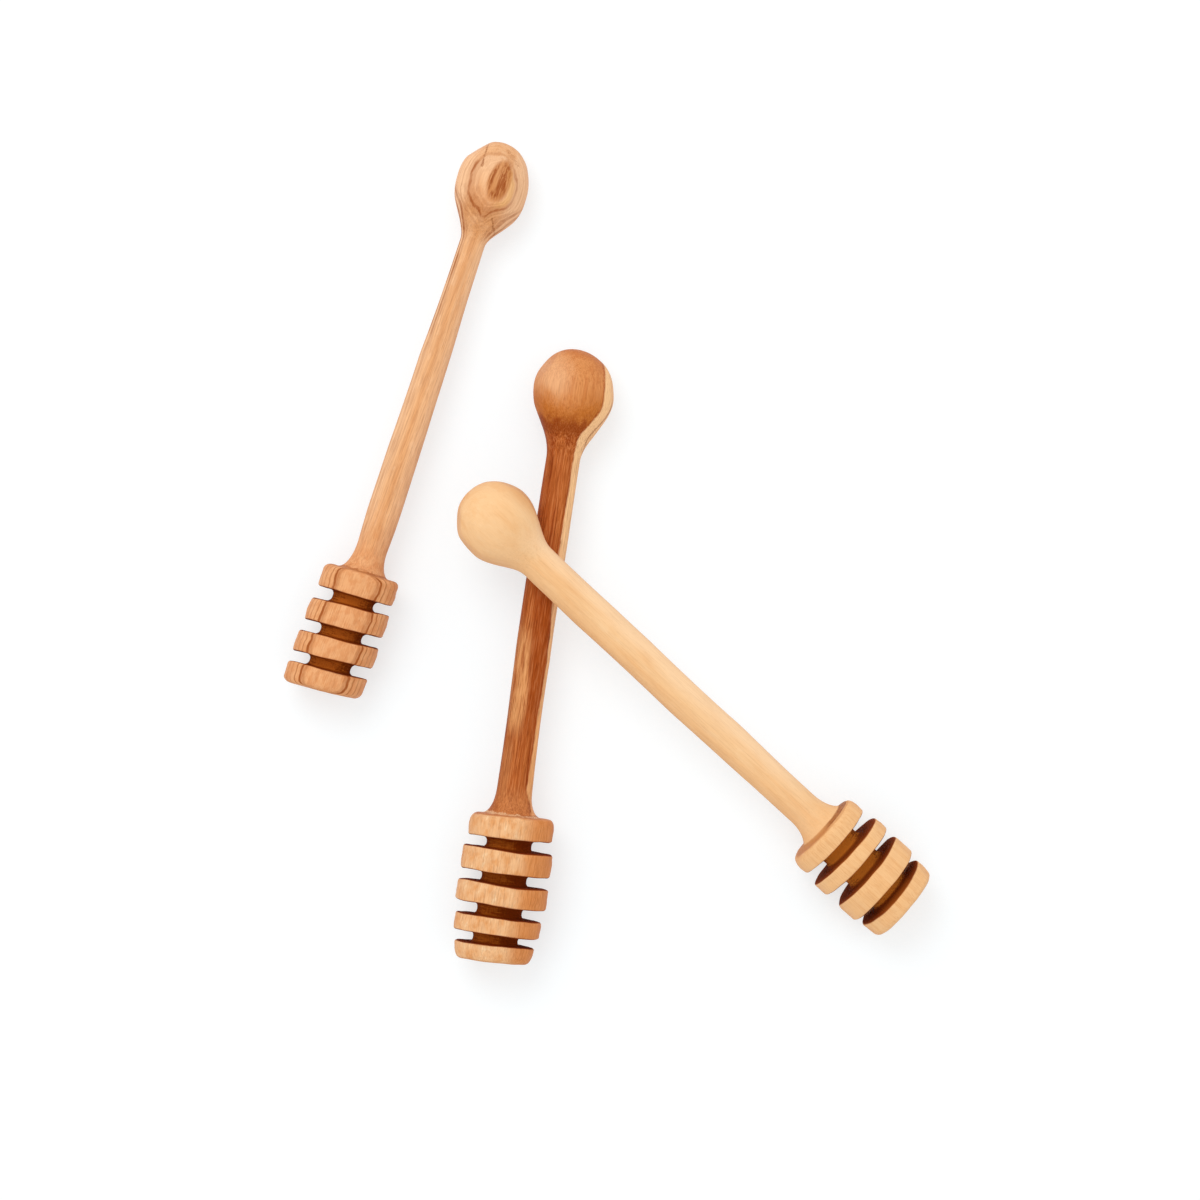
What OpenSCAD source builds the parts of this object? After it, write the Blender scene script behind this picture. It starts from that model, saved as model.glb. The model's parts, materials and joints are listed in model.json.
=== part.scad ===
// Three hand-carved olive wood honey dippers, lying as a set.
// Each one is a single piece of wood: a ringed head, a handle and a rounded knob.
// The dark one lies flat, the pale one leans across its handle, the swirled one lies beside them.

/* [Dark dipper] */
// Widths of the rings, from the tip to the handle
dark_ring_d = [20.8, 22.5, 23.6, 23.4, 21.9]; // [14:0.1:30]
// Thicknesses of the rings, from the tip to the handle
dark_ring_t = [4.5, 4.5, 5.5, 6.0, 6.0]; // [3.5:0.1:9]
// Widths of the grooves between the rings
dark_groove_w = [2.6, 3.0, 2.9, 2.9]; // [1.5:0.1:5]
// Angle by which each ring was cut askew
dark_ring_skew = [1.8, 0.5, 0, 0.7, 1.9]; // [-7:0.1:7]
// Width of the core at the bottom of the grooves
dark_core_d = 11.6; // [8:0.1:13]
// Width of the handle's foot, where it spreads onto the last ring
dark_foot_w = 15.7; // [10:0.1:19]
// Width of the handle just above its foot
dark_wrist_w = 8.5; // [5:0.1:9.5]
// Width of the handle where it is held
dark_grip_w = 9.2; // [5:0.1:12]
// Distance from the head to the place where it is held
dark_grip_at = 44; // [15:1:60]
// Width of the neck below the knob
dark_neck_w = 8.7; // [5:0.1:12]
// Distance from the head to the knob's widest place
dark_handle_l = 110.4; // [90:0.1:140]
// Sideways bend of the handle at its foot, grip, neck and knob
dark_bend = [0.5, 0.9, 0.4, 0.1]; // [-4:0.1:4]
// Width of the knob
dark_knob_w = 21; // [15:0.1:26]
// Length of the knob above its widest place
dark_knob_top = 11.0; // [7:0.1:15]
// Length over which the knob draws in to the neck
dark_knob_body = 17.8; // [12:0.1:26]
// Fullness of the knob towards the neck
dark_knob_full = 1.05; // [0.9:0.05:1.5]
// How far the knob drifts sideways for each length along it
dark_knob_drift = 0.055; // [-0.1:0.005:0.1]
// Where the tip lies, left to right
dark_tip_x = -29.6; // [-50:0.1:-10]
// Where the tip lies, front to back
dark_tip_y = -105.2; // [-120:0.1:-90]
// Direction from the tip to the knob
dark_heading = 81.8; // [75:0.1:90]

/* [Pale dipper] */
// Widths of the rings, from the tip to the handle
pale_ring_d = [21.8, 23.1, 23.4, 21.9]; // [14:0.1:30]
// Thicknesses of the rings, from the tip to the handle
pale_ring_t = [5.4, 6.1, 4.2, 5.0]; // [3.5:0.1:9]
// Widths of the grooves between the rings
pale_groove_w = [2.1, 3.4, 3.4]; // [1.5:0.1:5]
// Angle by which each ring was cut askew
pale_ring_skew = [2.1, 2.4, 0, 0]; // [-7:0.1:7]
// Width of the core at the bottom of the grooves
pale_core_d = 11.2; // [8:0.1:13]
// Width of the handle's foot, where it spreads onto the last ring
pale_foot_w = 16.5; // [10:0.1:19]
// Width of the handle just above its foot
pale_wrist_w = 8.9; // [5:0.1:9.5]
// Width of the handle where it is held
pale_grip_w = 9.6; // [5:0.1:12]
// Distance from the head to the place where it is held
pale_grip_at = 49; // [15:1:60]
// Width of the neck below the knob
pale_neck_w = 9.6; // [5:0.1:12]
// Distance from the head to the knob's widest place
pale_handle_l = 115.3; // [90:0.1:140]
// Sideways bend of the handle at its foot, grip, neck and knob
pale_bend = [-0.8, -1, -1.8, -2.4]; // [-4:0.1:4]
// Width of the knob
pale_knob_w = 20.8; // [15:0.1:26]
// Length of the knob above its widest place
pale_knob_top = 10.4; // [7:0.1:15]
// Length over which the knob draws in to the neck
pale_knob_body = 15; // [12:0.1:26]
// Fullness of the knob towards the neck
pale_knob_full = 1.15; // [0.9:0.05:1.5]
// How far the knob drifts sideways for each length along it
pale_knob_drift = 0; // [-0.1:0.005:0.1]
// Where the tip lies, left to right
pale_tip_x = 76.9; // [60:0.1:90]
// Where the tip lies, front to back
pale_tip_y = -91; // [-105:0.5:-80]
// Direction from the tip to the knob
pale_heading = 137.7; // [130:0.1:142]

/* [Swirled dipper] */
// Widths of the rings, from the tip to the handle
swirl_ring_d = [20.9, 21.2, 20.8, 20.1]; // [14:0.1:30]
// Thicknesses of the rings, from the tip to the handle
swirl_ring_t = [5.6, 5.5, 6.1, 6.3]; // [3.5:0.1:9]
// Widths of the grooves between the rings
swirl_groove_w = [2.9, 2.9, 2.9]; // [1.5:0.1:5]
// Angle by which each ring was cut askew
swirl_ring_skew = [5.5, 6, 5.5, 3.5]; // [-7:0.1:7]
// Width of the core at the bottom of the grooves
swirl_core_d = 10.8; // [8:0.1:13]
// Width of the handle's foot, where it spreads onto the last ring
swirl_foot_w = 13.7; // [10:0.1:19]
// Width of the handle just above its foot
swirl_wrist_w = 7.7; // [5:0.1:9.5]
// Width of the handle where it is held
swirl_grip_w = 8.5; // [5:0.1:12]
// Distance from the head to the place where it is held
swirl_grip_at = 21; // [15:1:60]
// Width of the neck below the knob
swirl_neck_w = 6.7; // [5:0.1:12]
// Distance from the head to the knob's widest place
swirl_handle_l = 105.7; // [90:0.1:140]
// Sideways bend of the handle at its foot, grip, neck and knob
swirl_bend = [-0.1, 0.3, 2.1, 2.4]; // [-4:0.1:4]
// Width of the knob
swirl_knob_w = 18.9; // [15:0.1:26]
// Length of the knob above its widest place
swirl_knob_top = 11.1; // [7:0.1:15]
// Length over which the knob draws in to the neck
swirl_knob_body = 16; // [12:0.1:26]
// Fullness of the knob towards the neck
swirl_knob_full = 1.4; // [0.9:0.05:1.5]
// How far the knob drifts sideways for each length along it
swirl_knob_drift = 0.04; // [-0.1:0.005:0.1]
// Where the tip lies, left to right
swirl_tip_x = -73.8; // [-95:0.1:-65]
// Where the tip lies, front to back
swirl_tip_y = -35.4; // [-50:0.1:-20]
// Direction from the tip to the knob
swirl_heading = 70.3; // [65:0.1:90]

/* [Carving] */
// Rounding of the rings' edges
edge_r = 0.7; // [0.4:0.1:1.6]
// Rounding of the outer edges of the first and the last ring
shoulder_r = 1.6; // [0.4:0.1:2.2]
// Rounding at the bottom of the grooves
groove_r = 0.9; // [0.3:0.1:1.2]
// Length of the spread foot
foot_l = 7.5; // [4:0.1:12]
// Thickness of the handle for a width of one
handle_flat = 0.94; // [0.8:0.01:1]
// Thickness of the knob for a width of one
knob_flat = 0.98; // [0.85:0.01:1]

/* [Set] */
// Gap under the pale handle, where it leans on the dark one
lean_gap = 0.25; // [0.1:0.05:1]

/* [Hidden] */
$fn = 64;
// Corners around a handle, and steps along its stretches
sides = 32;
foot_steps = 5;
grip_steps = 9;
body_steps = 9;
top_steps = 7;
arc_steps = 6;
// How deep the handle's root is sunk into the head, and how deep its spread foot starts
root_l = 2.5;
foot_sink = 0.6;
// How far the core covers the foot of each ring, so that the two run into each other
core_skin = 0.3;
// Where the neck is measured, in knob lengths below the knob's widest place
neck_back = 1.3;

// The sizes of one dipper, as they are passed to the functions
RING_D = 0;
RING_T = 1;
GROOVE = 2;
SKEW = 3;
CORE_D = 4;
FOOT_W = 5;
HANDLE = 6;
KNOB_W = 7;
KNOB_TOP = 8;
KNOB_BODY = 9;
KNOB_FULL = 10;
KNOB_DRIFT = 11;

// The handle as stations: distance from the head, width, sideways bend
function handle(wrist, grip, grip_at, neck, handle_l, body, bend) = [
    [0, wrist, bend[0]],
    [grip_at, grip, bend[1]],
    [handle_l - neck_back * body, neck, bend[2]],
    [handle_l, neck, bend[3]]
];

dark = [dark_ring_d, dark_ring_t, dark_groove_w, dark_ring_skew, dark_core_d, dark_foot_w,
    handle(dark_wrist_w, dark_grip_w, dark_grip_at, dark_neck_w, dark_handle_l, dark_knob_body, dark_bend),
    dark_knob_w, dark_knob_top, dark_knob_body, dark_knob_full,
    dark_knob_drift];
pale = [pale_ring_d, pale_ring_t, pale_groove_w, pale_ring_skew, pale_core_d, pale_foot_w,
    handle(pale_wrist_w, pale_grip_w, pale_grip_at, pale_neck_w, pale_handle_l, pale_knob_body, pale_bend),
    pale_knob_w, pale_knob_top, pale_knob_body, pale_knob_full,
    pale_knob_drift];
swirl = [swirl_ring_d, swirl_ring_t, swirl_groove_w, swirl_ring_skew, swirl_core_d, swirl_foot_w,
    handle(swirl_wrist_w, swirl_grip_w, swirl_grip_at, swirl_neck_w, swirl_handle_l, swirl_knob_body,
        swirl_bend),
    swirl_knob_w, swirl_knob_top, swirl_knob_body, swirl_knob_full,
    swirl_knob_drift];

// The head: rings and grooves in a row, counted from the tip
function total(v, n) = n <= 0 ? 0 : v[n - 1] + total(v, n - 1);
function ring_start(d, i) = total(d[RING_T], i) + total(d[GROOVE], i);
function ring_at(d, i) = ring_start(d, i) + d[RING_T][i] / 2;
function head_l(d) = ring_start(d, len(d[GROOVE])) + d[RING_T][len(d[GROOVE])];
function last_ring(d) = len(d[RING_T]) - 1;

// A smooth curve through column c of the stations p
function tangent(p, i, c) =
    let(a = max(i - 1, 0), b = min(i + 1, len(p) - 1))
    (p[b][c] - p[a][c]) / (p[b][0] - p[a][0]);
function between(p, i, c, x) =
    let(h = p[i + 1][0] - p[i][0], t = (x - p[i][0]) / h)
    (2 * t^3 - 3 * t^2 + 1) * p[i][c] + (t^3 - 2 * t^2 + t) * h * tangent(p, i, c)
    + (3 * t^2 - 2 * t^3) * p[i + 1][c] + (t^3 - t^2) * h * tangent(p, i + 1, c);
function curve(p, c, x, i = 0) =
    x <= p[0][0] ? p[0][c]
    : x >= p[len(p) - 1][0] ? p[len(p) - 1][c]
    : x <= p[i + 1][0] ? between(p, i, c, x)
    : curve(p, c, x, i + 1);

// Half widths of the handle and the knob, at x from the head
function handle_l(d) = d[HANDLE][3][0];
function foot_flare(d, x) =
    let(u = min(max(x / foot_l, 0), 1))
    (d[FOOT_W] - d[HANDLE][0][1]) / 2 * (1 - sqrt(1 - (1 - u)^2));
function shaft_r(d, x) = curve(d[HANDLE], 1, x) / 2 + foot_flare(d, x);
function knob_share(d, x) =
    let(u = min((handle_l(d) - x) / d[KNOB_BODY], 1))
    (1 + cos(180 * u^d[KNOB_FULL])) / 2;
function half_w(d, x) =
    x > handle_l(d) ? d[KNOB_W] / 2 * sqrt(max(1 - ((x - handle_l(d)) / d[KNOB_TOP])^2, 0))
    : let(r = shaft_r(d, x)) r + (d[KNOB_W] / 2 - r) * knob_share(d, x);
// Thickness for a width of one
function flatness(d, x) =
    x > handle_l(d) ? knob_flat
    : x <= 0 ? 1
    : let(shaft = 1 - (1 - handle_flat) * min(x / foot_l, 1))
        shaft + (knob_flat - shaft) * knob_share(d, x);
function half_t(d, x) = half_w(d, x) * flatness(d, x);
// Sideways place of the middle
function middle(d, x) =
    let(past = x - handle_l(d))
    curve(d[HANDLE], 2, x) + d[KNOB_DRIFT] * past * (past > 0 ? 1 : knob_share(d, x));

// Where a dipper rests: the height of its axis at the tip when the axis rises by the angle a
function ring_reach(d, i, a) =
    (d[RING_D][i] / 2 - edge_r) * cos(a) + (d[RING_T][i] / 2 - edge_r) * abs(sin(a)) + edge_r;
function tip_height(d, a) =
    max([for (i = [0:last_ring(d)]) ring_reach(d, i, a) - ring_at(d, i) * sin(a)]);
// The angle that brings the axis to the height z at x from the tip
function rise(d, x, z, n = 5) = n == 0 ? 0 : let(a = rise(d, x, z, n - 1)) asin((z - tip_height(d, a)) / x);

// The dark and the swirled dipper lie on their rings and their knob
function lying_rise(d) = rise(d, head_l(d) + handle_l(d), half_t(d, handle_l(d)));
dark_rise = lying_rise(dark);
swirl_rise = lying_rise(swirl);

// Where the pale handle crosses the dark one, from above, along each of them
cross_angle = pale_heading - dark_heading;
tips_apart = [pale_tip_x - dark_tip_x, pale_tip_y - dark_tip_y];
dark_cross = (tips_apart.x * sin(pale_heading) - tips_apart.y * cos(pale_heading)) / sin(cross_angle);
pale_cross = (tips_apart.x * sin(dark_heading) - tips_apart.y * cos(dark_heading)) / sin(cross_angle);
lean_z = tip_height(dark, dark_rise) + dark_cross * sin(dark_rise)
    + half_t(dark, dark_cross - head_l(dark)) + half_t(pale, pale_cross - head_l(pale)) + lean_gap;
pale_rise = rise(pale, pale_cross, lean_z);

// Points of an arc around c
function arc(c, r, from, to) =
    [for (s = [0:arc_steps]) let(a = from + (to - from) * s / arc_steps) c + r * [cos(a), sin(a)]];

// One ring with the rounded bottoms of its grooves, turned about its own axis
module ring(width, thick, core, skew, low_r, high_r) {
    half = thick / 2;
    skin = core_skin + (half + groove_r) * abs(sin(skew));
    root = core / 2 - skin + groove_r;
    rotate_extrude()
        polygon(concat(
            [[0, -half - groove_r]],
            arc([root, -half - groove_r], groove_r, 180, 90),
            arc([width / 2 - low_r, low_r - half], low_r, -90, 0),
            arc([width / 2 - high_r, half - high_r], high_r, 0, 90),
            arc([root, half + groove_r], groove_r, 270, 180),
            [[0, half + groove_r]]
        ));
}

// A ring at the end of the head has a flat outer face
module end_ring(width, thick, core, skew, inner_r, outer_r) {
    intersection() {
        ring(width, thick, core, skew, inner_r, outer_r);
        translate([0, 0, -thick / 2 - groove_r])
            cylinder(d = width, h = thick + groove_r);
    }
}

module head(d) {
    for (i = [0:last_ring(d)])
        translate([ring_at(d, i), 0, 0])
            rotate([0, 0, d[SKEW][i]])
                if (i == 0)
                    rotate([0, -90, 0])
                        end_ring(d[RING_D][i], d[RING_T][i], d[CORE_D], d[SKEW][i], edge_r, shoulder_r);
                else if (i == last_ring(d))
                    rotate([0, 90, 0])
                        end_ring(d[RING_D][i], d[RING_T][i], d[CORE_D], d[SKEW][i], edge_r, shoulder_r);
                else
                    rotate([0, 90, 0])
                        ring(d[RING_D][i], d[RING_T][i], d[CORE_D], d[SKEW][i], edge_r, edge_r);
    translate([ring_at(d, 0), 0, 0])
        rotate([0, 90, 0])
            cylinder(d = d[CORE_D], h = ring_at(d, last_ring(d)) - ring_at(d, 0));
}

// Stations along the handle and the knob, closer where the shape turns fastest
function stations(d) = concat(
    [-root_l, -foot_sink],
    [for (s = [1:foot_steps - 1]) foot_l * (1 - cos(90 * s / foot_steps))],
    let(body_start = handle_l(d) - d[KNOB_BODY])
        [for (s = [0:grip_steps - 1]) foot_l + (body_start - foot_l) * s / grip_steps],
    [for (s = [0:body_steps - 1]) handle_l(d) - d[KNOB_BODY] * (1 - s / body_steps)],
    [for (s = [0:top_steps - 1]) handle_l(d) + d[KNOB_TOP] * sin(90 * s / top_steps)]
);

// The handle and the knob, lofted through the stations
module handle_and_knob(d) {
    xs = stations(d);
    rows = len(xs);
    top = handle_l(d) + d[KNOB_TOP];
    body_points = [for (x = xs, i = [0:sides - 1])
        let(turn = 360 * i / sides)
        [x, middle(d, x) + half_w(d, x) * cos(turn), half_t(d, x) * sin(turn)]];
    skin = [for (j = [0:rows - 2], i = [0:sides - 1])
        let(a = j * sides + i, b = j * sides + (i + 1) % sides)
        each [[a, a + sides, b], [b, a + sides, b + sides]]];
    cap = [for (i = [0:sides - 1])
        let(a = (rows - 1) * sides) [a + i, rows * sides, a + (i + 1) % sides]];
    root = [for (i = [0:sides - 1]) i];
    translate([head_l(d), 0, 0])
        polyhedron(
            points = concat(body_points, [[top, middle(d, top), 0]]),
            faces = concat(skin, cap, [root])
        );
}

// A whole dipper, its tip at the origin and its handle along +X
module dipper(d) {
    head(d);
    handle_and_knob(d);
}

// Lays a dipper down: its tip at [x, y], its handle towards the heading, rising by the angle a
module laid(d, x, y, heading, a) {
    translate([x, y, tip_height(d, a)])
        rotate([0, 0, heading])
            rotate([0, -a, 0])
                dipper(d);
}

module dark_five_ring_dipper() {
    color("saddlebrown")
        laid(dark, dark_tip_x, dark_tip_y, dark_heading, dark_rise);
}

module pale_four_ring_dipper() {
    color("burlywood")
        laid(pale, pale_tip_x, pale_tip_y, pale_heading, pale_rise);
}

module swirl_four_ring_dipper() {
    color("peru")
        laid(swirl, swirl_tip_x, swirl_tip_y, swirl_heading, swirl_rise);
}

dark_five_ring_dipper();
pale_four_ring_dipper();
swirl_four_ring_dipper();
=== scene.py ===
import json
import math

import bmesh
import bpy
from mathutils import Matrix, Vector


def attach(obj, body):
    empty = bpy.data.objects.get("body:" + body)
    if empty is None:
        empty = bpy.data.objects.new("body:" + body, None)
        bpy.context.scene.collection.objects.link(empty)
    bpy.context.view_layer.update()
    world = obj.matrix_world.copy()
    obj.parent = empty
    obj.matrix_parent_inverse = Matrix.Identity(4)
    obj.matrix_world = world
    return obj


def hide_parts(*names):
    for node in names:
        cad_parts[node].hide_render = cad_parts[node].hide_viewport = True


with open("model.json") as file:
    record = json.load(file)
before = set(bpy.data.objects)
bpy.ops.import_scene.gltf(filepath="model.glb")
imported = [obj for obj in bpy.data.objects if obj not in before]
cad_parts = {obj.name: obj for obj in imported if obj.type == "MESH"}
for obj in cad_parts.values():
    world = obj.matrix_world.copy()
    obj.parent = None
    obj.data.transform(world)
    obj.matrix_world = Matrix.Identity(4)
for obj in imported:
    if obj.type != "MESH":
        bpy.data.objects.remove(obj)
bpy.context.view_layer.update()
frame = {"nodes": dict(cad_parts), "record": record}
print("frame loaded:", ", ".join(sorted(frame["nodes"])))

millimetre = 0.001
turn = 2 * math.pi


class Wire:
    # one socket of a node tree, so that sums of sockets are written as sums
    def __init__(self, bench, socket):
        self.bench = bench
        self.socket = socket

    def maths(self, operation, *others):
        return self.bench.node("ShaderNodeMath", {"operation": operation}, (self, *others))

    def __add__(self, other):
        return self.maths("ADD", other)

    __radd__ = __add__

    def __sub__(self, other):
        return self.maths("SUBTRACT", other)

    def __rsub__(self, other):
        return self.bench.node("ShaderNodeMath", {"operation": "SUBTRACT"}, (other, self))

    def __mul__(self, other):
        return self.maths("MULTIPLY", other)

    __rmul__ = __mul__

    def __truediv__(self, other):
        return self.maths("DIVIDE", other)

    def __pow__(self, other):
        return self.maths("POWER", other)

    def __abs__(self):
        return self.maths("ABSOLUTE")


class Bench:
    # a node tree, and the one way in which a node is added to it
    def __init__(self, tree):
        self.tree = tree

    def node(self, kind, settings=None, sockets=(), out=0):
        made = self.tree.nodes.new(kind)
        for name, value in (settings or {}).items():
            setattr(made, name, value)
        pairs = sockets.items() if isinstance(sockets, dict) else enumerate(sockets)
        for key, value in pairs:
            if isinstance(value, Wire):
                self.tree.links.new(value.socket, made.inputs[key])
            else:
                made.inputs[key].default_value = value
        return Wire(self, made.outputs[out])

    def smooth(self, value, low, high):
        return self.node("ShaderNodeMapRange", {"interpolation_type": "SMOOTHSTEP"}, (value, low, high, 0, 1))

    def ramp(self, value, low, high):
        return self.node("ShaderNodeMapRange", None, (value, low, high, 0, 1))

    def band(self, value, centre, width):  # 1 on a thin layer, 0 away from it
        return self.smooth(abs(value - centre), width, width * 0.3)

    def vector(self, x, y, z):
        return self.node("ShaderNodeCombineXYZ", None, (x, y, z))

    def split(self, vector):
        made = self.node("ShaderNodeSeparateXYZ", None, (vector,)).socket.node
        return [Wire(self, made.outputs[i]) for i in range(3)]

    def vectorMaths(self, operation, *vectors, out="Vector"):
        return self.node("ShaderNodeVectorMath", {"operation": operation}, vectors, out)

    def noise(self, vector, detail=2, roughness=0.5, out=0):
        sockets = {"Vector": vector, "Scale": 1, "Detail": detail, "Roughness": roughness}
        return self.node("ShaderNodeTexNoise", {"noise_dimensions": "3D"}, sockets, out)

    def mixColour(self, share, first, second, blend="MIX"):
        settings = {"data_type": "RGBA", "blend_type": blend}
        return self.node("ShaderNodeMix", settings, {0: share, 6: first, 7: second}, 2)


def tone(red, green, blue):  # a colour as a screen shows it, 0 to 255, as a shader's linear colour
    return tuple(((c / 255 + 0.055) / 1.055) ** 2.4 for c in (red, green, blue)) + (1,)


# The view: straight down from above, as the photograph was taken
view = {
    "centre": (-0.0018, -0.0121),
    "distance": 1.4,
    "width": 0.3096,  # what the frame spans at the height of the dippers' axes
    "axisHeight": 0.011,
}


def makeCamera():
    data = bpy.data.cameras.new("topCamera")
    data.sensor_fit = "HORIZONTAL"
    data.angle = 2 * math.atan(view["width"] / 2 / (view["distance"] - view["axisHeight"]))
    camera = bpy.data.objects.new("topCamera", data)
    camera.location = (*view["centre"], view["distance"])
    bpy.context.collection.objects.link(camera)
    bpy.context.scene.camera = camera


light = {
    "keyPlace": (-0.32, 0.56, 1.1),
    "keySize": 0.8,
    "keyPower": 4.7,
    "skyStrength": 0.83,
    "skyColour": (1, 1, 1, 1),
    "floorColour": (0.9, 0.91, 0.93, 1),
    "shadowColour": (0.9, 0.97, 1, 1),
    "shadowShare": 0.48,  # how much of the shadow the white ground shows
    "shadowReach": (0.55, 0.22),  # beyond the first distance the ground is plain white
    "whiteness": 1.115,  # above 1, so that the faint far edge of the shadows is lost in the white
    "floorHalfWidth": 3.0,
}


def makeLight():
    data = bpy.data.lights.new("key", "AREA")
    data.shape = "DISK"
    data.size = light["keySize"]
    data.energy = light["keyPower"]
    key = bpy.data.objects.new("key", data)
    key.location = light["keyPlace"]
    key.rotation_euler = Vector(light["keyPlace"]).to_track_quat("Z", "Y").to_euler()
    bpy.context.collection.objects.link(key)
    world = bpy.data.worlds.new("studio")
    world.use_nodes = True
    background = world.node_tree.nodes["Background"]
    background.inputs["Color"].default_value = light["skyColour"]
    bench = Bench(world.node_tree)
    strength = light["skyStrength"] + seen(bench) * (1 - light["skyStrength"])
    bench.tree.links.new(strength.socket, background.inputs["Strength"])
    bpy.context.scene.world = world


def seen(bench):  # 1 where the ray comes straight, or by a mirror or glass, from the camera
    names = ("Is Camera Ray", "Is Glossy Ray", "Is Transmission Ray")
    straight, mirrored, through = [bench.node("ShaderNodeLightPath", None, (), name) for name in names]
    return straight.maths("MAXIMUM", mirrored).maths("MAXIMUM", through)


def makeFloor():
    half = light["floorHalfWidth"]
    mesh = bpy.data.meshes.new("floor")
    corners = [(-half, -half, 0), (half, -half, 0), (half, half, 0), (-half, half, 0)]
    mesh.from_pydata(corners, [], [(0, 1, 2, 3)])
    floor = bpy.data.objects.new("floor", mesh)
    bpy.context.collection.objects.link(floor)
    paper = bpy.data.materials.new("whitePaper")
    paper.use_nodes = True
    bench = Bench(paper.node_tree)
    lit = bench.node("ShaderNodeBsdfDiffuse", None, {"Color": light["floorColour"]})
    shadowed = bench.node("ShaderNodeBsdfDiffuse", None, {"Color": light["shadowColour"]})
    white = bench.node("ShaderNodeEmission", None, {"Color": (1, 1, 1, 1), "Strength": light["whiteness"]})
    place = bench.node("ShaderNodeTexCoord", None, (), "Object")
    near = bench.smooth(bench.vectorMaths("LENGTH", place, out="Value"), *light["shadowReach"])
    shown = bench.node("ShaderNodeMixShader", None, (near * light["shadowShare"], white, shadowed))
    ground = bench.node("ShaderNodeMixShader", None, (seen(bench), lit, shown))
    bench.tree.links.new(ground.socket, paper.node_tree.nodes["Material Output"].inputs["Surface"])
    mesh.materials.append(paper)


makeCamera()
makeLight()
makeFloor()
bpy.context.scene.view_settings.view_transform = "Standard"
print("camera, light and floor set")

# What every dipper has in common, in millimetres
carving = {
    "edge": 0.55,  # rounding of the rings' edges
    "shoulder": 1.6,  # rounding of the outer edges of the first and the last ring
    "grooveRound": 0.42,  # rounding of a groove's bottom, as a share of its width
    "crown": 0.15,  # how much a rim bulges
    "endDome": 0.25,  # how much the sawn end bulges
    "foot": 7.5,  # length of the spread foot
    "neckBack": 1.3,
    "handleFlat": 0.94,
    "knobFlat": 0.98,
    "step": 0.5,  # distance of the rows along the handle
    "faceStep": 0.6,
    "rimStep": 0.4,
    "arcRows": 5,
    "rowGrowth": 1.15,  # rows get further apart away from the head
    "topRows": 1.6,  # how much closer the rows are on the knob's end
    "sides": 144,
    "cuts": 5,  # flat knife cuts on each knob
    "cutSoft": 0.3,  # how far a cut's border is rounded
    "footBlend": 2.5,  # how far the last face follows the handle's bend
    "torn": 0.6,  # strength of the torn fibres at the foot
    "tornLength": 1.2,
    "ringFacet": 0.3,
    "footFacet": 0.4,
    "coreWobble": 0.2,
    "handleWobble": 0.35,
}

# The marks of the knife: sizes of their noises along the axis and round it
marks = {
    "flatSoft": 0.12,  # how soft the borders of the flats are
    "flatLevel": 0.3,
    "slowLength": 14,
    "slowAround": 1.1,
    "ringAround": 1.2,
    "ringApart": 2.3,  # how different the rings are from each other
    "ringOut": 2.2,
    "tear": (0.9, 6),
    "centre": 2,  # the marks fade out towards the axis
    "weld": 0.002,
}


def arcPoints(x, r, radius, start, end):
    count = carving["arcRows"]
    angles = [math.radians(start + (end - start) * i / count) for i in range(count + 1)]
    return [(x + radius * math.cos(a), r + radius * math.sin(a)) for a in angles]


def between(start, end, step):  # points strictly between two others
    count = max(int(math.dist(start, end) / step), 1)
    return [tuple(a + (b - a) * i / count for a, b in zip(start, end)) for i in range(1, count)]


def joined(stretches, step):
    points = list(stretches[0])
    for stretch in stretches[1:]:
        points += between(points[-1], stretch[0], step)
        points += stretch
    return points


def alongStations(stations, column, x):  # a smooth curve through the stations of a handle
    if x <= stations[0][0]:
        return stations[0][column]
    if x >= stations[-1][0]:
        return stations[-1][column]
    i = next(i for i in range(len(stations) - 1) if x <= stations[i + 1][0])

    def slope(k):
        a, b = stations[max(k - 1, 0)], stations[min(k + 1, len(stations) - 1)]
        return (b[column] - a[column]) / (b[0] - a[0])

    span = stations[i + 1][0] - stations[i][0]
    t = (x - stations[i][0]) / span
    return (
        (2 * t**3 - 3 * t**2 + 1) * stations[i][column]
        + (t**3 - 2 * t**2 + t) * span * slope(i)
        + (3 * t**2 - 2 * t**3) * stations[i + 1][column]
        + (t**3 - t**2) * span * slope(i + 1)
    )


def handleStations(d):
    wrist, grip, neck = d["handleWidths"]
    bend = d["bend"]
    return [
        (0, wrist, bend[0]),
        (d["gripAt"], grip, bend[1]),
        (d["handleLength"] - carving["neckBack"] * d["knobBody"], neck, bend[2]),
        (d["handleLength"], neck, bend[3]),
    ]


def knobShare(d, x):
    u = min(max((d["handleLength"] - x) / d["knobBody"], 0), 1)
    return (1 + math.cos(math.pi * u ** d["knobFull"])) / 2


def middle(d, x):  # how far sideways the handle and the knob run at a place
    past = x - d["handleLength"]
    return alongStations(handleStations(d), 2, x) + d["knobDrift"] * past * knobShare(d, x)


def halfWidth(d, x):
    past = x - d["handleLength"]
    if past > 0:
        return d["knobWidth"] / 2 * math.sqrt(max(1 - (past / d["knobTop"]) ** 2, 0))
    u = min(max(x / carving["foot"], 0), 1)
    flare = (d["footWidth"] - d["handleWidths"][0]) / 2 * (1 - math.sqrt(1 - (1 - u) ** 2))
    shaft = alongStations(handleStations(d), 1, x) / 2 + flare
    return shaft + (d["knobWidth"] / 2 - shaft) * knobShare(d, x)


def flatness(d, x):
    if x > d["handleLength"]:
        return carving["knobFlat"]
    shaft = 1 - (1 - carving["handleFlat"]) * min(max(x / carving["foot"], 0), 1)
    return shaft + (carving["knobFlat"] - shaft) * knobShare(d, x)


def headLength(d):
    return sum(d["ringThicknesses"]) + sum(d["grooveWidths"])


def knobPlace(d):
    return headLength(d) + d["handleLength"]


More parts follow.
